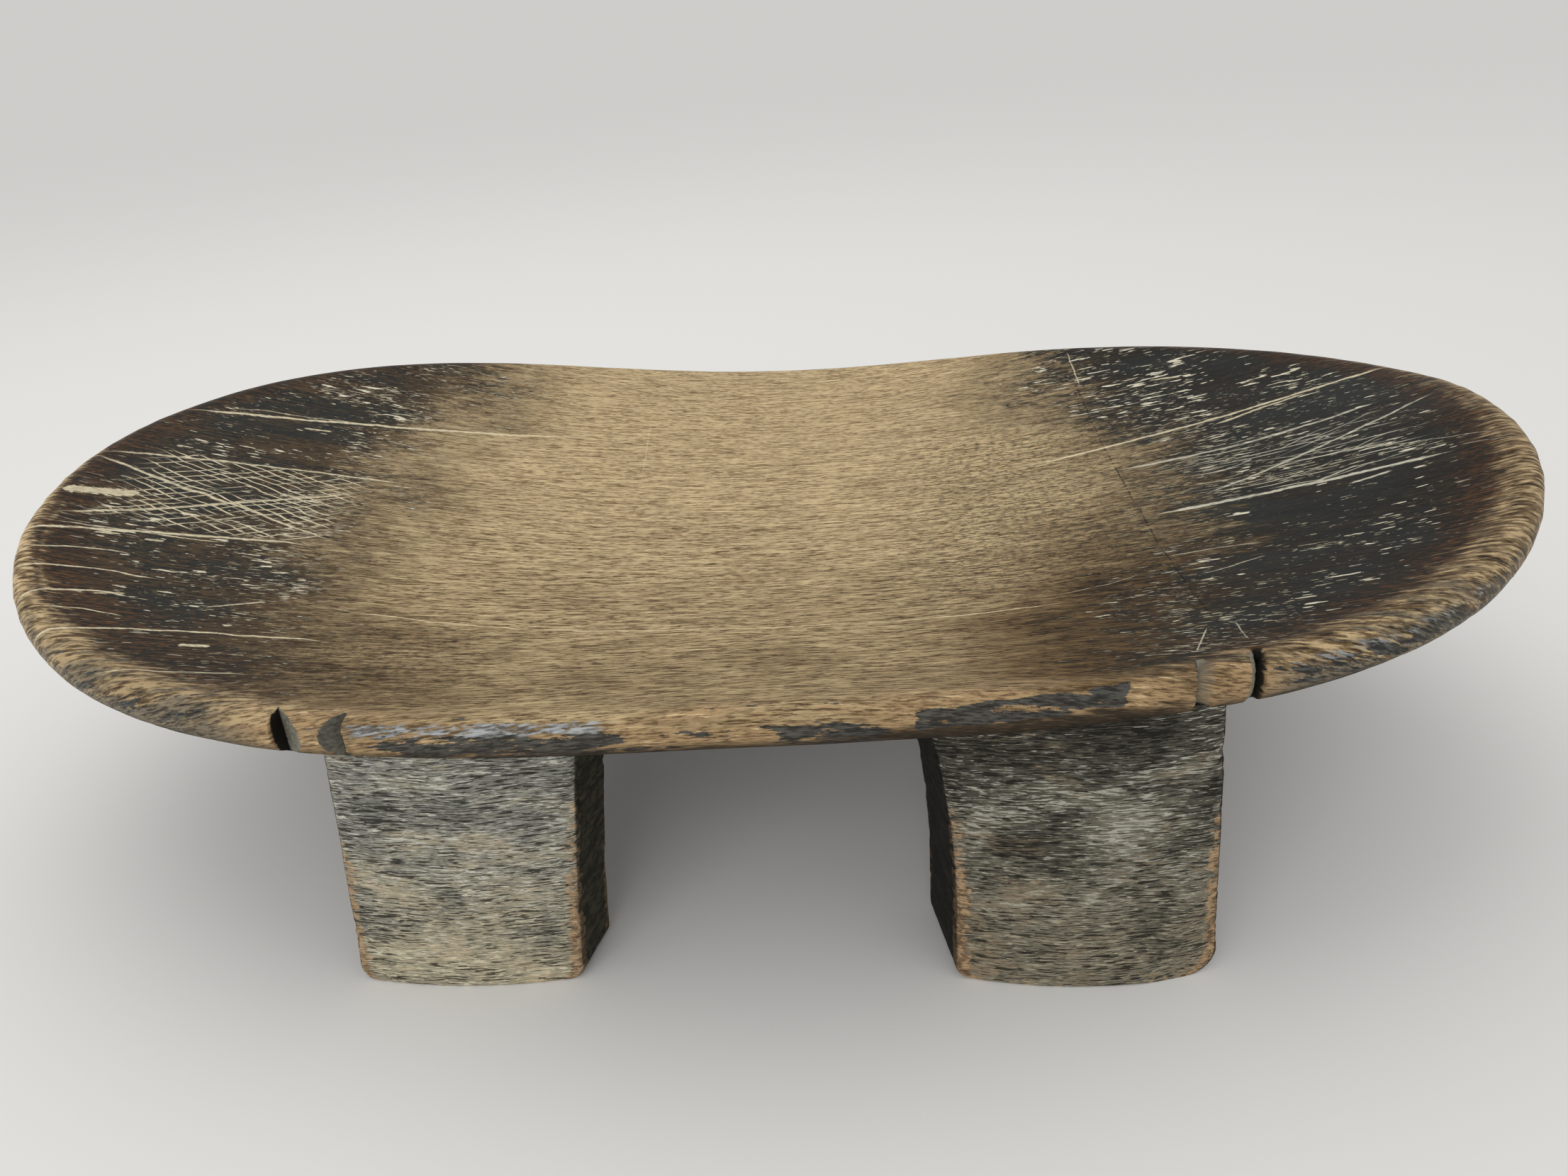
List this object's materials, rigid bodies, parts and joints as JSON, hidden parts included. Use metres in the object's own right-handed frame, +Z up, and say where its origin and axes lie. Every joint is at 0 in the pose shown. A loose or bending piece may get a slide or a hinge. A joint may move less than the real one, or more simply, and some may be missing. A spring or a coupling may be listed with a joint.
{
  "type": "low carved stool",
  "caption": "Low carved wooden stool with a long oval dished seat on four splayed block legs, its front rim notched in two places.",
  "frame": {"origin": "on the ground, under the middle of the seat's length and width", "axes": "+X along the seat, -Y out of the front rim with the four cuts, +Z up"},
  "size_m": [0.616, 0.366, 0.1507],
  "materials": {
    "seat_wood": "worn hardwood: bare golden tan in the middle, black polish at the ends, pale rubbed rim",
    "leg_wood": "dry weathered hardwood, dark grey brown, with short pale grain and rubbed tan edges"
  },
  "bodies": {
    "root": {"seat": "seat_wood", "leg_front_left": "leg_wood", "leg_front_right": "leg_wood", "leg_rear_left": "leg_wood", "leg_rear_right": "leg_wood"}
  },
  "joints": []
}
